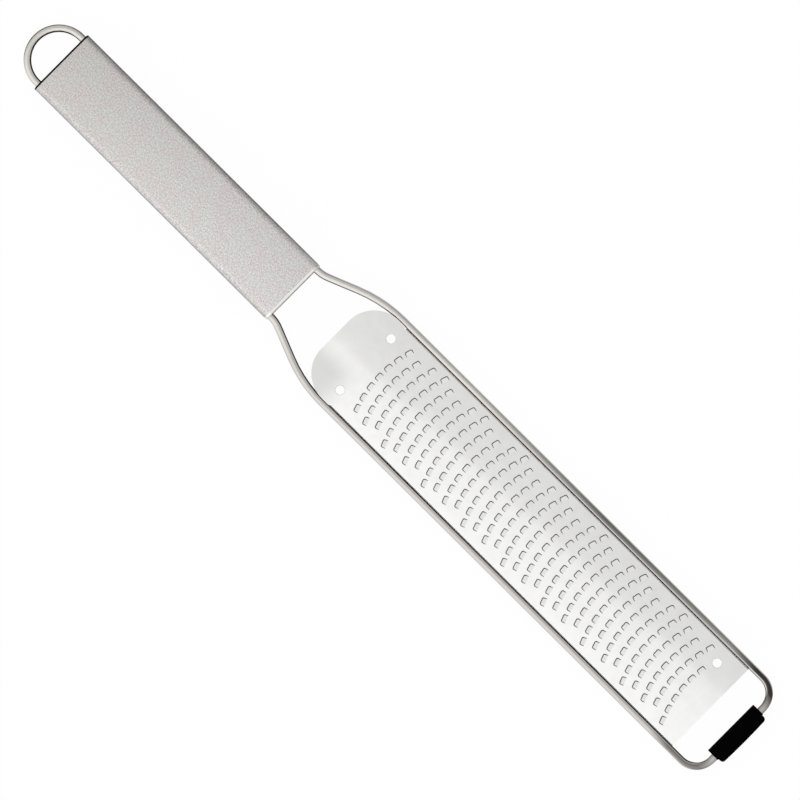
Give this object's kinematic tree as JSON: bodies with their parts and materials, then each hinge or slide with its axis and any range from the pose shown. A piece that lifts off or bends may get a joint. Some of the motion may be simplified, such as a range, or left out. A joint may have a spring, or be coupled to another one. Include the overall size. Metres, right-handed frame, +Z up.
{
  "type": "rasp zester",
  "caption": "Hand-held rasp zester: a toothed steel sheet in a bent rod frame, a flat blasted steel handle with a hanging loop, and a rubber foot at the tip.",
  "frame": {"origin": "on the table, under the middle of the whole length and width, where the handle and the foot rest", "axes": "+X from the hanging loop to the tip, +Y to the left when looking at the tip with the teeth up, +Z up, the way the teeth point"},
  "size_m": [0.3252, 0.0402, 0.009],
  "materials": {
    "blade_steel": "bright rolled stainless sheet, faintly satin",
    "rod_steel": "drawn stainless rod, tumbled satin",
    "weld_steel": "bare weld metal",
    "handle_steel": "fine bead-blasted stainless steel",
    "core_nylon": "plain moulded nylon",
    "cap_steel": "polished stainless steel",
    "black_nylon": "black moulded nylon",
    "foot_rubber": "matt black rubber"
  },
  "bodies": {
    "root": {"rasp_blade": "blade_steel", "frame_rod": "rod_steel", "spot_welds": "weld_steel", "hanging_loop": "rod_steel", "handle_tube": "handle_steel", "handle_core": "core_nylon", "front_end_cap": "cap_steel", "rear_end_cap": "black_nylon", "tip_foot": "foot_rubber"}
  },
  "joints": []
}
